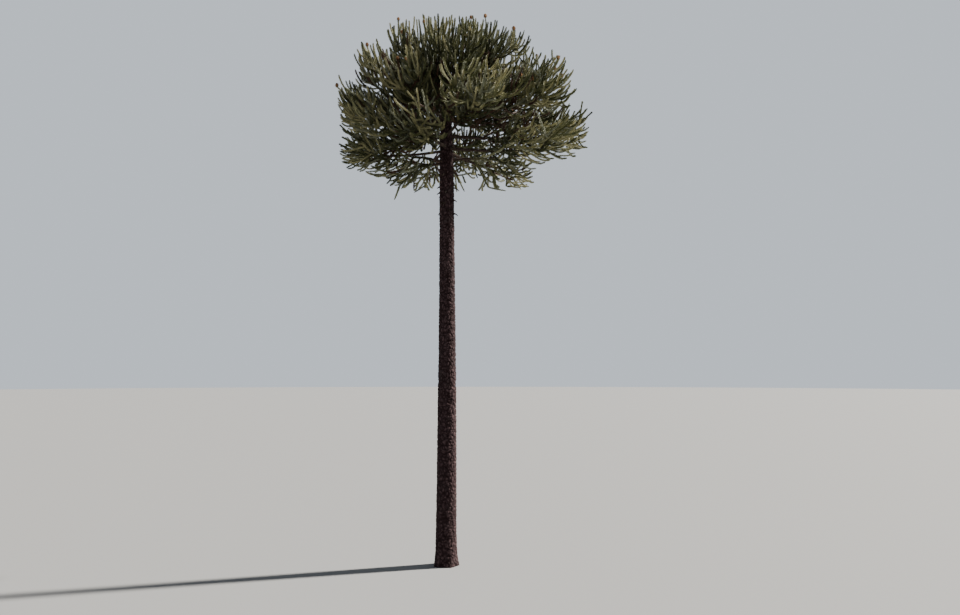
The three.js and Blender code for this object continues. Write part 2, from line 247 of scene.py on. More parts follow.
noise.seed_set(BARK_SEED)
shape = bmesh.new()
bmesh.ops.create_cone(shape, cap_ends=True, segments=TRUNK_SIDES, radius1=1, radius2=1, depth=1)
bmesh.ops.subdivide_edges(shape, edges=upright_edges(shape), cuts=TRUNK_CUTS)
crevice_shade_layer = shape.verts.layers.float.new("crevice_and_shade")
plate_layer = shape.verts.layers.float.new("plate")
for vert in shape.verts:
    height = (vert.co.z + 0.5) * TRUNK_TOP
    angle = math.atan2(vert.co.y, vert.co.x)
    lobes = 1 + BUTTRESS_DEPTH * math.cos(BUTTRESSES * angle)
    radius = trunk_radius(height) + FLARE_REACH * math.exp(-height / FLARE_HEIGHT) * lobes
    out = Vector((math.cos(angle), math.sin(angle), 0))
    proud, vert[crevice_shade_layer], vert[plate_layer] = bark_relief(out * radius + Vector((0, 0, height)))
    radius += proud * min(1, radius / FULL_RELIEF_RADIUS)
    vert.co = Vector(trunk_middle(height)) + out * radius
for face in shape.faces:
    face.smooth = len(face.verts) == 4
bmesh.ops.triangulate(shape, faces=[face for face in shape.faces if len(face.verts) > 4])
trunk_mesh = bpy.data.meshes.new("trunk_bark")
shape.to_mesh(trunk_mesh)
shape.free()


def bark_material(name, dark, pale, lichen, grain, crevice_shade_colour=None):
    """Rough bark from dark to pale with patches of lichen and a fine grain. Where a crevice shade colour is
    given, the piece's plates vary in tone and its crevices are darkened towards that colour as painted shade."""
    material, nodes, link, shader = new_material(name, BARK_ROUGHNESS)
    shader.inputs["Specular IOR Level"].default_value = BARK_GLOSS
    where = nodes.new("ShaderNodeTexCoord").outputs["Object"]
    mottle = add_node(nodes, "ShaderNodeTexNoise", {"Scale": grain, "Detail": 6, "Roughness": 0.65})
    link(where, mottle.inputs["Vector"])
    spread = {"From Min": 0.4, "From Max": 0.64, "To Min": -0.35, "To Max": 0.6}
    shift = add_node(nodes, "ShaderNodeMapRange", spread)
    link(mottle.outputs["Fac"], shift.inputs["Value"])
    tone = shift.outputs["Result"]
    if crevice_shade_colour:
        plate = nodes.new("ShaderNodeAttribute")
        plate.attribute_name = "plate"
        blend = add_node(nodes, "ShaderNodeMath", {1: 0.55})
        blend.operation = "MULTIPLY_ADD"
        link(plate.outputs["Fac"], blend.inputs[0])
        link(tone, blend.inputs[2])
        tone = blend.outputs["Value"]
    face = colour_blend(nodes, {"A": dark, "B": pale})
    link(tone, face.inputs["Factor"])
    patches = add_node(nodes, "ShaderNodeTexNoise", {"Scale": 1.7, "Detail": 5})
    link(where, patches.inputs["Vector"])
    patch = add_node(nodes, "ShaderNodeMapRange", {"From Min": 0.54, "From Max": 0.72, "To Max": 0.55})
    link(patches.outputs["Fac"], patch.inputs["Value"])
    grown = colour_blend(nodes, {"B": lichen})
    link(patch.outputs["Result"], grown.inputs["Factor"])
    link(face.outputs["Result"], grown.inputs["A"])
    colour = grown.outputs["Result"]
    # Painted shade: the colour darkens towards the crevices' colour the farther into them.
    if crevice_shade_colour:
        crevice_and_shade = nodes.new("ShaderNodeAttribute")
        crevice_and_shade.attribute_name = "crevice_and_shade"
        crevice_shaded = colour_blend(nodes, {"B": crevice_shade_colour})
        link(crevice_and_shade.outputs["Fac"], crevice_shaded.inputs["Factor"])
        link(colour, crevice_shaded.inputs["A"])
        colour = crevice_shaded.outputs["Result"]
    link(colour, shader.inputs["Base Color"])
    fine = add_node(nodes, "ShaderNodeTexNoise", {"Scale": 6 * grain, "Detail": 8})
    link(where, fine.inputs["Vector"])
    bump = add_node(nodes, "ShaderNodeBump", {"Strength": 0.7, "Distance": 0.01})
    link(fine.outputs["Fac"], bump.inputs["Height"])
    link(bump.outputs["Normal"], shader.inputs["Normal"])
    return material


trunk_mesh.materials.append(bark_material("plated_bark", BARK_DARK, BARK_PALE, BARK_LICHEN, BARK_GRAIN,
                                          crevice_shade_colour=BARK_CREVICE_SHADE))
trunk = put_in_scene("trunk_bark", trunk_mesh)
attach(trunk, "root")
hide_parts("trunk")

# Every limb grows by one seeded rule, from whorls of boughs up the trunk. Lines are arrays of points.
# A tier's values are its count of boughs, their height and scatter on the trunk, the reach of a whole
# limb on the long side, its slope at the trunk and at its end, the turn of the first bough and from each
# to the next, and its lift, from -1 for hanging shoots to 1 for upright ones. Angles are in degrees.
SEED = 33
TIER_VALUES = ("count", "up", "spread", "reach", "rise", "tip", "swing", "apart", "lift")
TIERS = [dict(zip(TIER_VALUES, values)) for values in (
    (4, 20.30, 0.20, 2.9, 4, -14, 8, 72, -0.4),
    (5, 20.95, 0.30, 5.7, -8, 1, -28, 72, 0),
    (5, 21.70, 0.30, 6.5, -3, 7, 4, 72, 0.3),
    (5, 22.50, 0.30, 5.7, 3, 11, -38, 72, 0.55),
    (4, 23.20, 0.30, 4.8, 11, 17, 10, 90, 0.8),
    (4, 23.80, 0.25, 3.8, 22, 20, -38, 90, 1),
)]
CREST = dict(zip(TIER_VALUES, (4, 24.05, 0.20, 2.2, 42, 34, 8, 90, 1)))
LEADER = {"reach": 0.5, "lift": 1}
SHORT_SIDE = 0.76
STRAY = {"turn": 9, "rise": 4, "tip": 5, "sweep": 7, "reach": 0.05}
BOUGH_STEPS = 3
STEM_STEPS = 4
SLOPE_EASE = 1.3
UP = np.array((0, 0, 1.0))


def chance(*keys):
    """A number from 0 to 1 that depends only on the whole numbers given."""
    h = SEED
    for key in keys:
        h = ((h ^ (key + 0x9E3779B9)) * 0x85EBCA6B) & 0xFFFFFFFF
        h = ((h ^ (h >> 13)) * 0xC2B2AE35) & 0xFFFFFFFF
        h ^= h >> 16
    return h / 2**32


def wobble(*keys):
    """The same, from -1 to 1."""
    return 2 * chance(*keys) - 1


def mix(low, high, share):
    """The value at a share of the way from low to high."""
    return low + (high - low) * share


def unit(way):
    """A direction of length 1."""
    return way / np.linalg.norm(way)


def heading(turn, slope):
    """A direction from a turn about the trunk and a slope, both in degrees."""
    turn = math.radians(turn)
    slope = math.radians(slope)
    return np.array((math.cos(turn) * math.cos(slope), math.sin(turn) * math.cos(slope), math.sin(slope)))


def whorl(tier, first_key, bend):
    """A whorl's limbs: each a bough for its first steps, up to bend, and a leafy stem for the rest."""
    steps = bend + STEM_STEPS
    limbs = []
    for i in range(tier["count"]):
        key = first_key + i
        turn = tier["swing"] + tier["apart"] * i + STRAY["turn"] * wobble(5, key)
        side_share = mix(SHORT_SIDE, 1, (1 + math.cos(math.radians(turn))) / 2)
        reach = tier["reach"] * side_share * (1 + STRAY["reach"] * wobble(7, key))
        rise = tier["rise"] + STRAY["rise"] * wobble(8, key)
        tip = tier["tip"] + STRAY["tip"] * wobble(9, key)
        at = trunk_middle(tier["up"] + tier["spread"] * (chance(6, key) - 0.5))
        points = []
        ways = []
        for step in range(steps + 1):
            share = step / steps
            way = heading(turn + STRAY["sweep"] * wobble(4, key) * share, mix(rise, tip, share**SLOPE_EASE))
            points.append(at)
            ways.append(way)
            at = at + way * reach / steps
        limbs.append({"key": key, "points": np.array(points), "ways": np.array(ways), "bend": bend,
                      "reach": reach, "lift": tier["lift"]})
    return limbs


bough_limbs = []
for tier in TIERS:
    bough_limbs += whorl(tier, len(bough_limbs), BOUGH_STEPS)
crest_limbs = whorl(CREST, len(bough_limbs), 0)
leader_points = np.array([trunk_middle(TRUNK_TOP) + UP * LEADER["reach"] * i / STEM_STEPS
                          for i in range(STEM_STEPS + 1)])
leader = {"key": len(bough_limbs) + CREST["count"], "points": leader_points, "bend": 0,
          "ways": np.tile(UP, (STEM_STEPS + 1, 1)), "reach": LEADER["reach"], "lift": LEADER["lift"]}
all_limbs = bough_limbs + crest_limbs + [leader]

# The boughs: bare tapering limbs that leave the trunk from a thick collar and end where their leafy stem
# starts. Their dark bark is rough with the ring-like scars of old leaves.
BOUGH_RADIUS = 0.092
BOUGH_TIP_RADIUS = 0.056
COLLAR = 1.5
COLLAR_SHARE = 0.2
FULL_BOUGH = 6.0
BOUGH_SIDES = 14
BOUGH_CUTS = 63
BOUGH_POINTS = 12
KNOBS = 0.012
KNOB_SCALES = (7, 19)
BOUGH_RING = 0.009
BOUGH_RING_EVERY = 0.11
RING_SHARPNESS = 6
BOUGH_GRAIN = 14
BOUGH_DARK = (0.030, 0.020, 0.016, 1)
BOUGH_PALE = (0.105, 0.076, 0.062, 1)
BOUGH_LICHEN = (0.075, 0.078, 0.056, 1)


def arrays_of(bm):
    """A bmesh as arrays of its points and its triangles. The bmesh is freed."""
    bmesh.ops.triangulate(bm, faces=bm.faces)
    bm.verts.index_update()
    points = np.array([vert.co for vert in bm.verts])
    faces = np.array([[vert.index for vert in face.verts] for face in bm.faces])
    bm.free()
    return points, faces


def straight_tube(sides, cuts):
    """A tube of radius 1 that runs up from 0 to 1, closed at its end."""
    bm = bmesh.new()
    bmesh.ops.create_cone(bm, cap_ends=True, segments=sides, radius1=1, radius2=1, depth=1)
    bmesh.ops.translate(bm, verts=bm.verts, vec=(0, 0, 0.5))
    bmesh.ops.subdivide_edges(bm, edges=upright_edges(bm), cuts=cuts)
    foot = [face for face in bm.faces if face.calc_center_median().z < 1e-6]
    bmesh.ops.delete(bm, geom=foot, context="FACES_ONLY")
    return arrays_of(bm)


def smooth_line(points, steps):
    """More points on a smooth curve through these, steps to each stretch."""
    ends = np.vstack((2 * points[0] - points[1], points, 2 * points[-1] - points[-2]))
    made = []
    for a, b, c, d in zip(ends, ends[1:], ends[2:], ends[3:]):
        for share in np.arange(steps) / steps:
            bend = (c - a) * share + (2 * a - 5 * b + 4 * c - d) * share**2
            bend += (3 * b - a - 3 * c + d) * share**3
            made.append(b + 0.5 * bend)
    return np.array(made + [points[-1]])


def laid_along(unit_points, line, radii):
    """A straight tube's points laid along a line: z from 0 to 1 becomes a place on the line, and x and y
    stand off it, as many times as far as the radii say."""
    ways = np.gradient(line, axis=0)
    ways /= np.linalg.norm(ways, axis=1)[:, None]
    across = np.cross(ways[0], (0.31, 0.17, 0.93))
    sides = np.empty_like(ways)
    for i, way in enumerate(ways):
        across = unit(across - way * (across @ way))
        sides[i] = across
    others = np.cross(ways, sides)
    place = np.clip(unit_points[:, 2], 0, 1) * (len(line) - 1)
    low = np.minimum(place.astype(int), len(line) - 2)
    share = (place - low)[:, None]
    middle = mix(line[low], line[low + 1], share)
    side = mix(sides[low], sides[low + 1], share)
    other = mix(others[low], others[low + 1], share)
    wide = mix(radii[low], radii[low + 1], share[:, 0])[:, None]
    return middle + wide * (side * unit_points[:, :1] + other * unit_points[:, 1:2])


def joined_arrays(parts):
    """The points and the triangles of many parts as one part."""
    starts = np.cumsum([0] + [len(points) for points, _ in parts])
    points = np.concatenate([points for points, _ in parts])
    return points, np.concatenate([faces + start for (_, faces), start in zip(parts, starts)])


def joined_mesh(name, parts, smooth):
    """One mesh of many parts, each an array of points and one of triangles."""
    points, faces = joined_arrays(parts)
    mesh = bpy.data.meshes.new(name)
    mesh.vertices.add(len(points))
    mesh.vertices.foreach_set("co", points.ravel())
    mesh.loops.add(faces.size)
    mesh.loops.foreach_set("vertex_index", faces.ravel().astype(np.int32))
    mesh.polygons.add(len(faces))
    mesh.polygons.foreach_set("loop_start", np.arange(0, faces.size, 3, dtype=np.int32))
    mesh.polygons.foreach_set("use_smooth", np.full(len(faces), smooth))
    mesh.update(calc_edges=True)
    return mesh


def knobbly(points):
    """How far the knobs of a limb's bark stand proud at each point."""
    coarse, fine = KNOB_SCALES
    places = [Vector(point) for point in points]
    lumps = [noise.noise(place * coarse) + 0.5 * noise.noise(place * fine) for place in places]
    return KNOBS * np.array(lumps)


bough_tube, bough_faces = straight_tube(BOUGH_SIDES, BOUGH_CUTS)
bough_parts = []
for limb in bough_limbs:
    line = smooth_line(limb["points"][: BOUGH_STEPS + 1], BOUGH_POINTS)
    shares = np.linspace(0, 1, len(line))
    radii = mix(BOUGH_RADIUS * math.sqrt(limb["reach"] / FULL_BOUGH), BOUGH_TIP_RADIUS, shares)
    radii *= mix(COLLAR, 1, np.minimum(1, shares / COLLAR_SHARE))
    points = laid_along(bough_tube, line, radii)
    away = points - laid_along(bough_tube * (0, 0, 1), line, radii)
    length = limb["reach"] * BOUGH_STEPS / (BOUGH_STEPS + STEM_STEPS)
    turns = math.pi * bough_tube[:, 2] * length / BOUGH_RING_EVERY
    proud = knobbly(points) + BOUGH_RING * np.abs(np.sin(turns)) ** RING_SHARPNESS
    thick = np.maximum(np.linalg.norm(away, axis=1), 1e-6)
    bough_parts.append((points + away * (proud / thick)[:, None], bough_faces))
bough_mesh = joined_mesh("bough_bark", bough_parts, smooth=True)
bough_material = bark_material("bough_bark", BOUGH_DARK, BOUGH_PALE, BOUGH_LICHEN, BOUGH_GRAIN)
bough_mesh.materials.append(bough_material)
boughs = put_in_scene("bough_bark", bough_mesh)
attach(boughs, "root")
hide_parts(*[f"bough_{limb['key'] + 1:02d}" for limb in bough_limbs])

# Dead stubs: short drooping pegs of shed boughs, still held in the bark of the bare stretch under the
# crown, with smaller snags of shed twigs between them.
STUBS = 9
STUB_FROM = 17.5
STUB_TO = 20.1
STUB_LENGTH = 0.33
STUB_LENGTHS = (0.6, 1.3)
STUB_RADIUS = 0.034
STUB_TAPER = (1.6, 0.5)
STUB_POINTS = 8
STUB_KNOBS = 0.3
STUB_SUNK = 0.06
STUB_DROOP = 26.4
STUB_TURN_STRAY = 25
SNAGS = 14
SNAG_SHARE = 0.7
GOLDEN_TURN = 137.5

peg_tube, peg_faces = straight_tube(8, 9)
peg_parts = []
for i in range(STUBS + SNAGS):
    small = i >= STUBS
    height = mix(STUB_FROM, STUB_TO, (i + 0.5 * chance(1, i)) / STUBS)
    if small:
        height = mix(STUB_FROM, STUB_TO, (i - STUBS + chance(1, i)) / SNAGS)
    turn = i * GOLDEN_TURN + STUB_TURN_STRAY * wobble(2, i)
    length = STUB_LENGTH * mix(*STUB_LENGTHS, chance(3, i)) * (SNAG_SHARE if small else 1) + STUB_SUNK
    start = trunk_middle(height) + heading(turn, 0) * (trunk_radius(height) - STUB_SUNK)
    line = np.array([start + heading(turn, -STUB_DROOP * share) * length * share
                     for share in np.linspace(0, 1, STUB_POINTS)])
    points = laid_along(peg_tube, line, STUB_RADIUS * np.linspace(*STUB_TAPER, len(line)))
    peg_parts.append((points + STUB_KNOBS * knobbly(points * 3)[:, None], peg_faces))
stub_mesh = joined_mesh("dead_stubs", peg_parts, smooth=True)
stub_mesh.materials.append(bough_material)
stubs = put_in_scene("dead_stubs", stub_mesh)
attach(stubs, "root")
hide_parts("trunk")

# The leafy shoots grow from the stems in two passes. The first places the main shoots of each spray: by
# turns a side shoot with its ropes and a rope on the stem itself, then the ropes at the stem's end. A
# shoot that would leave its limb's space, or crowd another, is tried again shorter and turned, and then
# left out.
STATION = 0.318
FIRST_STATION = 0.08
LAST_STATION = 0.9
SIDE = {"length": 1.7, "steps": 3, "pull": 0.12}
SIDE_ANGLES = (64, 42)
SIDE_ROLLS = (60, 100)
SIDE_LENGTHS = (1.05, 0.7)
SIDE_STRAY = 0.1
ROPE = {"length": 1.35, "steps": 2, "pull": 0.5}
ROPE_ROLLS = (30, 110)
ROPE_STRAY = 0.15
ROPES_PER_SIDE = 3
SIDE_ROPE_SHARES = (0.45, 0.95)
SIDE_ROPE_ANGLE = 50
STEM_ROPE_ANGLE = 56
STEM_ROPE_ROLL = 60
END_ROPES = 4
END_ROPE_ANGLE = 50
END_ROPE_PULL = 0.4
END_ROPE_STRAY = 0.12
END_SHARE = 0.97
MAIN_RULE = {"radius": 0.125, "first": 0.31, "tip": 0.15, "apart": 0.24, "tries": 5, "shorter": 0.92,
             "lifts": (0, 0.6), "sweeps": (0, 0), "ease": 1, "overlap": 0, "low": -math.inf, "high": math.inf,
             "dome": math.inf, "fall": 0, "base": -math.inf, "rise": 0}
UPRIGHT = 0.7
RETRY_TURN = 70
CLEAR = 0.012


def stretches(limbs, first, last):
    """The starts and ends of the stretches of limbs between two of their steps, and each one's key."""
    starts = np.concatenate([limb["points"][first(limb):last(limb)] for limb in limbs])
    ends = np.concatenate([limb["points"][first(limb) + 1:last(limb) + 1] for limb in limbs])
    keys = np.concatenate([[limb["key"]] * (last(limb) - first(limb)) for limb in limbs])
    return starts, ends, keys


def at_trunk(limb):
    """The step at which a limb leaves the trunk."""
    return 0


def stem_start(limb):
    """The step at which a limb's leafy stem starts."""
    return limb["bend"]


def stem_end(limb):
    """The step at which a limb's stem ends."""
    return limb["bend"] + STEM_STEPS


MAIN_RULE["stems"] = stretches(all_limbs, stem_start, stem_end)
MAIN_RULE["bare"] = stretches(bough_limbs, at_trunk, stem_start)


def distances(points, starts, ends):
    """The distance from each point to each stretch from a start to an end."""
    run = ends - starts
    away = points[:, None] - starts
    share = np.clip((away * run).sum(2) / (run * run).sum(1), 0, 1)
    return np.linalg.norm(away - share[..., None] * run, axis=2)


def keeps_to_space(points, radii, key, rule):
    """Whether balls at these points are nearer their own stem than any other by more than their width,
    and clear of the trunk, its stubs and every bough."""
    room = radii + CLEAR
    up = np.minimum(points[:, 2], TRUNK_TOP)
    share = up / TRUNK_TOP
    out = np.hypot(points[:, 0] - LEAN * share - BOW * np.sin(math.pi * share), points[:, 1])
    stub = np.where(points[:, 2] < STUB_TO + STUB_LENGTH, STUB_LENGTH, 0)
    if ((points[:, 2] < TRUNK_TOP + room) & (out < trunk_radius(up) + stub + room)).any():
        return False
    if (distances(points, *rule["bare"][:2]) < BOUGH_RADIUS * COLLAR + room[:, None]).any():
        return False
    starts, ends, keys = rule["stems"]
    to_stems = distances(points, starts, ends)
    own = to_stems[:, keys == key].min(1)
    other = to_stems[:, keys != key].min(1)
    return bool((other - own > 2 * room - rule["overlap"]).all())


def outside_umbrella(points, rule):
    """Which points lie above the crown's dome or below its underside."""
    out = np.hypot(points[:, 0], points[:, 1])
    above = points[:, 2] > rule["dome"] - rule["fall"] * out**2
    return above | (points[:, 2] < rule["base"] + rule["rise"] * out)


def shoot_line(limb, others, root, way, shoot, rule):
    """The points of a shoot grown step by step, or None if it has no room."""
    points = [root]
    tested = []
    at = root
    out = (limb["points"][-1] - limb["points"][0]) * (1, 1, 0) / limb["reach"]
    for i in range(1, shoot["steps"] + 1):
        grown = (i / shoot["steps"]) ** rule["ease"]
        lift = limb["lift"] + mix(*rule["lifts"], grown)
        way = unit(way + shoot["pull"] * (UP * lift + out * mix(*rule["sweeps"], grown)))
        rest = (shoot["length"] - rule["first"] - rule["tip"]) / (shoot["steps"] - 1)
        step = rule["first"] if i == 1 else rest
        if i > 1:
            tested.append(at + way * step / 2)
        at = at + way * step
        tested.append(at)
        points.append(at)
    tip = at + way * rule["tip"]
    tested = np.array(tested + [tip])
    if (tested < rule["low"]).any() or (tested > rule["high"]).any():
        return None
    if outside_umbrella(tested, rule).any():
        return None
    for some in (tested[1::3], tested) if len(others[0]) else ():
        if (distances(some, *others) <= rule["apart"]).any():
            return None
    radii = np.append(np.full(len(tested) - 1, rule["radius"]), 0)
    return np.array(points + [tip]) if keeps_to_space(tested, radii, limb["key"], rule) else None


def leaving(along, angle, roll):
    """A way that leaves a parent shoot at an angle, turned about it by roll from straight up."""
    side = np.cross(UP, along)
    side = unit(side) if np.linalg.norm(side) > 0.01 else np.array((1.0, 0, 0))
    top = np.cross(along, side)
    angle = math.radians(angle)
    roll = math.radians(roll)
    return unit(along * math.cos(angle) + math.sin(angle) * (top * math.cos(roll) + side * math.sin(roll)))


def length_of(line):
    """The length of a line of points."""
    return np.linalg.norm(np.diff(line, axis=0), axis=1).sum()


def place_on(line, share):
    """The point and the direction at a share of a line of points."""
    place = share * (len(line) - 1)
    i = min(len(line) - 2, int(place))
    return mix(line[i], line[i + 1], place - i), unit(line[i + 1] - line[i])


class Spray:
    """The shoots of one limb, each a line of points."""

    def __init__(self, limb, stem, rule):
        self.limb = limb
        self.rule = rule
        self.lines = [stem]
        self.starts = stem[:-1]
        self.ends = stem[1:]
        self.owners = np.zeros(len(stem) - 1, int)

    def grow(self, parent, share, angle, roll, shoot):
        """Grow a shoot on the line with this number, and give its own number, or None."""
        line = self.lines[parent]
        root, along = place_on(line, share)
        mask = self.owners != parent
        others = (self.starts[mask], self.ends[mask])
        for i in range(self.rule["tries"]):
            turned = roll + (RETRY_TURN * wobble(18, self.limb["key"], len(self.lines), i) if i else 0)
            tried = dict(shoot, length=shoot["length"] * self.rule["shorter"]**i)
            made = shoot_line(self.limb, others, root, leaving(along, angle, turned), tried, self.rule)
            if made is not None:
                return self.add(made)
        return None

    def add(self, line):
        """Take in a line, and give its number."""
        self.lines.append(line)
        self.starts = np.vstack((self.starts, line[:-1]))
        self.ends = np.vstack((self.ends, line[1:]))
        self.owners = np.append(self.owners, np.full(len(line) - 1, len(self.lines) - 1))
        return len(self.lines) - 1


def main_shoots(limb):
    """The side shoots and the ropes of a limb's first pass, as two lists of lines."""
    key = limb["key"]
    stem = limb["points"][limb["bend"]:]
    spray = Spray(limb, stem, MAIN_RULE)
    sides = []
    ropes = []
    stations = max(2, math.floor(length_of(stem) / STATION + 0.5))
    for i in range(stations):
        share = mix(FIRST_STATION, LAST_STATION, i / (stations - 1))
        hand = 1 if (i + key) % 4 < 2 else -1
        if i % 2:
            hangs = limb["lift"] < 0 or (limb["lift"] < UPRIGHT and i % 4 == 3)
            roll = (180 if hangs else 0) + hand * STEM_ROPE_ROLL * chance(14, key, i)
            ropes.append(spray.grow(0, share, STEM_ROPE_ANGLE, roll, ROPE))
            continue
        roll = hand * mix(*SIDE_ROLLS, chance(10, key, i))
        length = SIDE["length"] * mix(*SIDE_LENGTHS, share) * (1 + SIDE_STRAY * wobble(11, key, i))
        side = spray.grow(0, share, mix(*SIDE_ANGLES, share), roll, dict(SIDE, length=length))
        sides.append(side)
        for j in range(ROPES_PER_SIDE if side else 0):
            roll = (1 if j % 2 else -1) * mix(*ROPE_ROLLS, chance(12, key, i, j))
            length = ROPE["length"] * (1 + ROPE_STRAY * wobble(13, key, i, j))
            place = mix(*SIDE_ROPE_SHARES, j / (ROPES_PER_SIDE - 1))
            ropes.append(spray.grow(side, place, SIDE_ROPE_ANGLE, roll, dict(ROPE, length=length)))
    for i in range(END_ROPES):
        roll = 360 / END_ROPES * (i + chance(15, key))
        length = ROPE["length"] * (1 + END_ROPE_STRAY * wobble(16, key, i))
        angle = END_ROPE_ANGLE if i else END_ROPE_ANGLE / 6
        ropes.append(spray.grow(0, END_SHARE, angle, roll, dict(ROPE, length=length, pull=END_ROPE_PULL)))
    return [spray.lines[n] for n in sides if n], [spray.lines[n] for n in ropes if n]


# The second pass carries each spray on to its finest shoots: slender ropes along the side shoots, the
# main ropes, the stem and the outer stretch of its bough, and then along those ropes too. They leave at a
# low angle, sink a little, curve up towards the light, and end within the main shoots' reach, under a
# rounded dome and over a rising underside that make the crown an umbrella.
FINE = {"length": 1.6, "steps": 6, "pull": 0.3}
FINE_RULE = {"radius": 0.035, "first": 0.2, "tip": 0.08, "apart": 0.148, "tries": 5, "shorter": 0.84,
             "lifts": (-0.8, 1.3), "sweeps": (0.6, 0.1), "ease": 2, "overlap": 0.35,
             "dome": 27.55, "fall": 0.065, "base": 18.8, "rise": 0.19}
FINE_STRAY = 0.22
SPARSE = 1.35
FINE_REACH_LOW = 0.05
FINE_REACH_HIGH = 0.22
HANGING_ROOM = 0.7
FINE_ANGLES = (24, 66)
FINE_ROLL_STRAY = 40
UPPER_ROLLS = 125
ON_SIDES = {"every": 0.09, "low": 0.1, "high": 0.98}
ON_ROPES = {"every": 0.14, "low": 0.04, "high": 0.66}
ON_STEM = {"every": 0.07, "low": 0.01, "high": 0.98}
ON_FINES = {"every": 0.4, "low": 0.15, "high": 0.6}
INNER = {"length": 1.3, "steps": 4, "pull": 0.12}
INNER_LENGTHS = (0.75, 1.2)
INNER_ANGLE = 62
INNER_EVERY = 0.24


def leafy_from(limb):
    """The step of a limb from which it bears fine shoots: the lower boughs are barer than the upper."""
    return max(0, limb["bend"] - (0 if limb["lift"] < 0.2 else 1 if limb["lift"] < 0.5 else 2))


FINE_RULE["stems"] = stretches(all_limbs, leafy_from, stem_end)
FINE_RULE["bare"] = stretches(bough_limbs, at_trunk, leafy_from)


def cut_back(line, rule):
    """A line ended where it would leave the umbrella, though not before its middle."""
    out = outside_umbrella(line, rule)
    return line[:max(len(line) // 2 + 1, np.argmax(out))] if out.any() else line


def fine_shoots(limb, sides, ropes):
    """The lines of a limb's slender ropes, its main ropes first, and the shoot that each one grows from."""
    key = limb["key"]
    main = np.concatenate([limb["points"]] + sides + ropes)
    stem = smooth_line(limb["points"][leafy_from(limb):], 3)
    low = main.min(0) - FINE_REACH_LOW
    high = main.max(0) + FINE_REACH_LOW
    if limb["lift"] < 0:
        low += UP * HANGING_ROOM
    if limb["lift"] > 0.5:
        low -= (FINE_REACH_HIGH, FINE_REACH_HIGH, 0)
        high += FINE_REACH_HIGH
    rule = dict(FINE_RULE, low=np.maximum(low, cad_low), high=np.minimum(high, cad_high))
    rule["apart"] *= SPARSE if limb["lift"] < 0.2 else 1
    rule["apart"] *= SPARSE if limb["lift"] < 0 else 1
    spray = Spray(limb, stem, rule)
    side_numbers = [spray.add(smooth_line(side, 3)) for side in sides]
    inner = limb["bend"] - leafy_from(limb)
    steps = len(limb["points"]) - 1 - leafy_from(limb)
    inner_shoots = round(inner * limb["reach"] / (BOUGH_STEPS + STEM_STEPS) / INNER_EVERY)
    for i in range(inner_shoots):
        roll = (1 if i % 2 else -1) * mix(*SIDE_ROLLS, chance(27, key, i))
        share = inner / steps * (i + 0.5) / inner_shoots
        length = INNER["length"] * mix(*INNER_LENGTHS, chance(28, key, i))
        made = spray.grow(0, share, INNER_ANGLE, roll, dict(INNER, length=length))
        if made:
            side_numbers.append(made)
            sides.append(spray.lines[made])
    first_rope = len(spray.lines)
    rope_numbers = [spray.add(cut_back(smooth_line(rope, 3), rule)) for rope in ropes]
    parent_of = {number: number for number in rope_numbers}

    def grow_along(parent, spacing, hangs):
        """Grow slender ropes along a shoot, all round it, or round its upper part if none may hang."""
        low = spacing["low"]
        high = spacing["high"]
        places = max(1, round(length_of(spray.lines[parent]) * (high - low) / spacing["every"]))
        for i in range(places):
            share = mix(low, high, (i + chance(20, key, parent, i)) / places)
            roll = i * GOLDEN_TURN + FINE_ROLL_STRAY * wobble(21, key, parent, i)
            if not hangs:
                roll = UPPER_ROLLS * math.sin(math.radians(roll))
            angle = mix(*FINE_ANGLES, chance(22, key, parent, i))
            length = FINE["length"] * (1 + FINE_STRAY * wobble(23, key, parent, i))
            made = spray.grow(parent, share, angle, roll, dict(FINE, length=length))
            if made:
                parent_of[made] = parent

    for number in side_numbers:
        grow_along(number, ON_SIDES, hangs=True)
    for number in rope_numbers:
        grow_along(number, ON_ROPES, hangs=limb["lift"] < 0)
    grow_along(0, ON_STEM, hangs=True)
    for number in list(parent_of)[len(rope_numbers):]:
        grow_along(number, ON_FINES, hangs=False)
    return [(spray.lines[number], parent_of[number]) for number in range(first_rope, len(spray.lines))]


sprays = []
for limb in all_limbs:
    sides, ropes = main_shoots(limb)
    fines = fine_shoots(limb, sides, ropes)
    sprays.append({"limb": limb, "sides": sides, "ropes": len(ropes), "fines": fines})

# The stems and side shoots: woody cores that carry the ropes, tapering to their tips. Each stem grows on
# from the end of its bough, or from the trunk in the crest.
STEM_TIP_RADIUS = 0.018
SIDE_RADII = (0.026, 0.011)
CREST_ROOT_RADIUS = 0.036

stem_tube, stem_faces = straight_tube(8, 15)
stem_parts = []
for spray in sprays:
    limb = spray["limb"]
    root = BOUGH_TIP_RADIUS if limb["bend"] else CREST_ROOT_RADIUS
    line = smooth_line(limb["points"][limb["bend"]:], 5)
    radii = np.linspace(root, STEM_TIP_RADIUS, len(line))
    stem_parts.append((laid_along(stem_tube, line, radii), stem_faces))
    for side in spray["sides"]:
        line = smooth_line(side, 4)
        stem_parts.append((laid_along(stem_tube, line, np.linspace(*SIDE_RADII, len(line))), stem_faces))
stem_mesh = joined_mesh("stems", stem_parts, smooth=True)
stem_mesh.materials.append(bough_material)
stems = put_in_scene("stems", stem_mesh)
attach(stems, "root")
masses = [f"foliage_{limb['key'] + 1:02d}" for limb in all_limbs]
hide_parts(*masses)
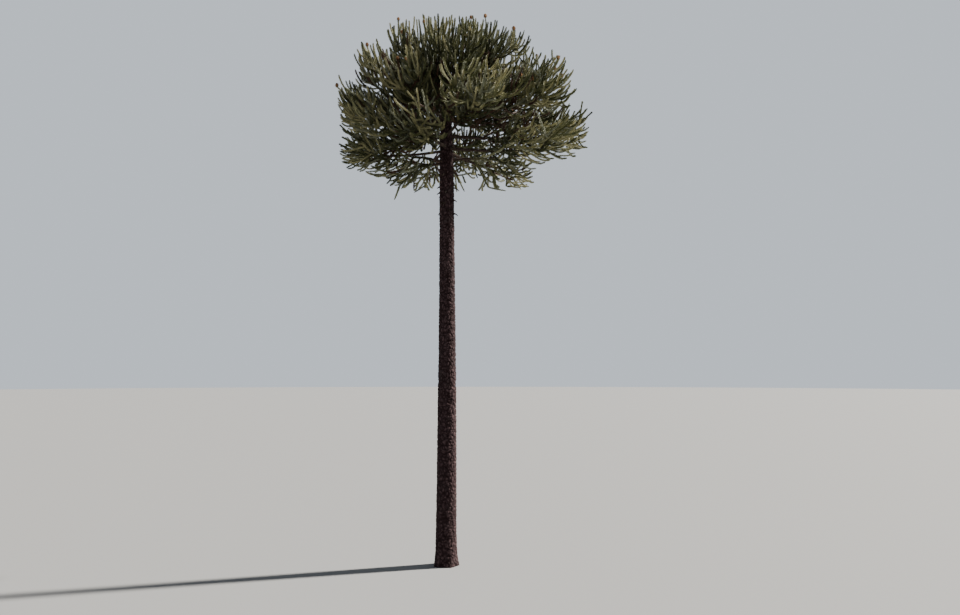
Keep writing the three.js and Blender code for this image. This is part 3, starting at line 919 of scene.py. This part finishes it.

# The leafy ropes: each a slim core clad all round in a close spiral of stiff, pointed, overlapping scale
# leaves. One rope is modelled and bent along every line. Tints are dealt out by spray and by how far out
# it reaches, from the rust and dark green of old leaves near the crown's middle to the yellow olive of young
# ones at its outside; the darker inside and the paler outside are also painted shade and painted light.
CORE_RADIUS = 0.031
CORE_SIDES = 5
LEAVES = 92
LEAF_LENGTH = 0.080
LEAF_WIDTH = 0.054
LEAF_WIDEST = 0.3
LEAF_KEEL = 0.006
LEAF_LEAN = 27
LEAF_ROOT = 0.8
CORE_TAPER = ((0, 0.1, 0.85, 1), (0.6, 1, 1, 0.5))
LEAN_TAPER = ((0, 0.9, 1), (1, 1, 0.6))
LEAF_TAPER = ((0, 0.08, 0.85, 1), (0.75, 1, 1, 0.75))
ROOT_TAPER = ((0, 0.85, 1), (1, 1, 0.4))
ROPE_MODEL_LENGTH = 1.2
LAST_LEAF = 1 - 0.6 * LEAF_LENGTH / ROPE_MODEL_LENGTH
STEM_THICK = (1.5, 1.3)
SIDE_THICK = 1.1
THICK_STRAY = 0.12
SPRAY_AGES = 1.0
ROPE_AGES = 0.6
LEAF_ROUGHNESS = 0.55
LEAF_GLOSS = 0.16
CROWN_MIDDLE = (0.3, 0, 22.6)
CROWN_HALF = (6.4, 6.4, 4.6)
TINTS = (
    ("leaves_rust", (0.052, 0.030, 0.020, 1), (0.095, 0.055, 0.036, 1)),
    ("leaves_deep", (0.030, 0.034, 0.016, 1), (0.052, 0.056, 0.026, 1)),
    ("leaves_dark", (0.045, 0.050, 0.022, 1), (0.077, 0.082, 0.037, 1)),
    ("leaves_green", (0.068, 0.076, 0.031, 1), (0.113, 0.120, 0.052, 1)),
    ("leaves_mid", (0.095, 0.099, 0.042, 1), (0.156, 0.158, 0.072, 1)),
    ("leaves_grey", (0.128, 0.137, 0.088, 1), (0.212, 0.220, 0.150, 1)),
    ("leaves_olive", (0.156, 0.157, 0.078, 1), (0.252, 0.248, 0.134, 1)),
    ("leaves_yellow", (0.200, 0.192, 0.098, 1), (0.312, 0.294, 0.160, 1)),
)


def leaf_model():
    """One leaf, from its root at the origin to its point along +Y, folded along its keel."""
    bm = bmesh.new()
    bmesh.ops.create_circle(bm, cap_ends=True, segments=4, radius=1)
    ends = [vert for vert in bm.verts if abs(vert.co.x) < 0.5]
    bmesh.ops.connect_verts(bm, verts=ends)
    for vert in bm.verts:
        if vert in ends:
            vert.co = (0, LEAF_LENGTH if vert.co.y > 0 else 0, LEAF_KEEL * (vert.co.y > 0))
        else:
            edge = math.copysign(LEAF_WIDTH / 2, vert.co.x)
            vert.co = (edge, LEAF_WIDEST * LEAF_LENGTH, -LEAF_KEEL)
    return arrays_of(bm)


def rope_model():
    """A straight rope, its x and y in metres and its z from 0 to 1."""
    points, faces = straight_tube(CORE_SIDES, 3)
    points[:, :2] *= CORE_RADIUS * np.interp(points[:, 2], *CORE_TAPER)[:, None]
    parts = [(points, faces)]
    leaf_points, leaf_faces = leaf_model()
    for i in range(LEAVES):
        share = (i + 0.5) / LEAVES
        angle = math.radians(i * GOLDEN_TURN)
        lean = math.radians(LEAF_LEAN * np.interp(share, *LEAN_TAPER))
        size = np.interp(share, *LEAF_TAPER)
        out = np.array((math.cos(angle), math.sin(angle), 0))
        side = np.array((-math.sin(angle), math.cos(angle), 0))
        along = UP * math.cos(lean) + out * math.sin(lean)
        normal = out * math.cos(lean) - UP * math.sin(lean)
        placed = size * leaf_points @ np.array((side, along, normal))
        placed += out * CORE_RADIUS * LEAF_ROOT * np.interp(share, *ROOT_TAPER)
        placed[:, 2] = share * LAST_LEAF + placed[:, 2] / ROPE_MODEL_LENGTH
        parts.append((placed, leaf_faces))
    return joined_arrays(parts)


def leaf_material(name, dark, pale):
    """Stiff, slightly waxy leaves whose tone varies a little from shoot to shoot."""
    material, nodes, link, shader = new_material(name, LEAF_ROUGHNESS)
    shader.inputs["Specular IOR Level"].default_value = LEAF_GLOSS
    tone = add_node(nodes, "ShaderNodeTexNoise", {"Scale": 5, "Detail": 4})
    link(nodes.new("ShaderNodeTexCoord").outputs["Object"], tone.inputs["Vector"])
    spread = add_node(nodes, "ShaderNodeMapRange", {"From Min": 0.35, "From Max": 0.65})
    link(tone.outputs["Fac"], spread.inputs["Value"])
    colour = colour_blend(nodes, {"A": dark, "B": pale})
    link(spread.outputs["Result"], colour.inputs["Factor"])
    link(colour.outputs["Result"], shader.inputs["Base Color"])
    return material


rope_points, rope_faces = rope_model()
clad = []
for spray in sprays:
    limb = spray["limb"]
    key = limb["key"]
    stem = smooth_line(limb["points"][limb["bend"]:], 6)
    half = len(stem) // 2
    lines = [(stem[: half + 1], 0, STEM_THICK[0]), (stem[half:], 0, STEM_THICK[1])]
    lines += [(smooth_line(side, 4), n + 1, SIDE_THICK) for n, side in enumerate(spray["sides"])]
    lines += [(line, number, 1) for line, number in spray["fines"]]
    for i, (line, number, thick) in enumerate(lines):
        # Ropes nearer the crown's middle sort to darker tints and outer ones to paler: older leaves within
        # and younger at the tips, and also painted shade inside the crown and painted light on its outside.
        age_and_shade = np.linalg.norm((line[len(line) // 2] - CROWN_MIDDLE) / CROWN_HALF)
        age_and_shade += SPRAY_AGES * chance(24, key, number) + ROPE_AGES * chance(25, key, i)
        wide = np.full(len(line), thick * (1 + THICK_STRAY * wobble(26, key, i)))
        clad.append((age_and_shade, line, wide))
clad.sort(key=lambda rope: rope[0])
for i, (name, dark, pale) in enumerate(TINTS):
    share = clad[i * len(clad) // len(TINTS):(i + 1) * len(clad) // len(TINTS)]
    parts = [(laid_along(rope_points, line, wide), rope_faces) for _, line, wide in share]
    leaf_mesh = joined_mesh(name, parts, smooth=False)
    leaf_mesh.materials.append(leaf_material(name, dark, pale))
    leaves = put_in_scene(name, leaf_mesh)
    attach(leaves, "root")
    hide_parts(*masses)

# The seed cones: round and orange brown, clad in close spine-tipped scales round a woody core. They stand
# upright on the ends of the crown's upper ropes.
CONE_RADIUS = 0.085
CONE_HEIGHT = 0.19
CONE_CORE = (0.8 * CONE_RADIUS, 0.8 * CONE_RADIUS, 0.42 * CONE_HEIGHT)
CONE_ROOTS = (0.74 * CONE_RADIUS, 0.74 * CONE_RADIUS, 0.40 * CONE_HEIGHT)
CONE_SUNK = 0.03
CONE_STRAY = 0.15
CONE_SCALES = 120
CONE_SCALE_SIZE = 0.62
CONE_LEAN = 48
CONE_EVERY = 3
CONE_DARK = (0.17, 0.080, 0.036, 1)
CONE_PALE = (0.46, 0.285, 0.150, 1)


def cone_model():
    """One cone, upright, with its foot at the origin."""
    bm = bmesh.new()
    bmesh.ops.create_icosphere(bm, subdivisions=2, radius=1)
    bmesh.ops.scale(bm, verts=bm.verts, vec=CONE_CORE)
    bmesh.ops.translate(bm, verts=bm.verts, vec=(0, 0, CONE_HEIGHT / 2))
    parts = [arrays_of(bm)]
    leaf_points, leaf_faces = leaf_model()
    for i in range(CONE_SCALES):
        z = 1 - 2 * (i + 0.5) / CONE_SCALES
        flat = math.sqrt(1 - z * z)
        angle = math.radians(i * GOLDEN_TURN)
        out = np.array((math.cos(angle) * flat, math.sin(angle) * flat, z))
        side = np.array((-math.sin(angle), math.cos(angle), 0))
        rise = np.cross(out, side)
        lean = math.radians(CONE_LEAN)
        along = rise * math.cos(lean) + out * math.sin(lean)
        normal = out * math.cos(lean) - rise * math.sin(lean)
        placed = CONE_SCALE_SIZE * leaf_points @ np.array((side, along, normal))
        placed += out * CONE_ROOTS + UP * CONE_HEIGHT / 2
        parts.append((placed, leaf_faces))
    return joined_arrays(parts)


cone_points, cone_faces = cone_model()
tips = [line[-1] for spray in sprays if spray["limb"]["lift"] > 0.5
        for line, number in spray["fines"][:spray["ropes"]:CONE_EVERY]]
cone_parts = []
for i, tip in enumerate(tips):
    size = 1 + CONE_STRAY * wobble(29, i)
    cone_parts.append((tip - UP * CONE_SUNK + size * cone_points, cone_faces))
cone_mesh = joined_mesh("cones", cone_parts, smooth=False)
cone_mesh.materials.append(leaf_material("cone_scales", CONE_DARK, CONE_PALE))
cones = put_in_scene("cones", cone_mesh)
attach(cones, "root")
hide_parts(*masses)
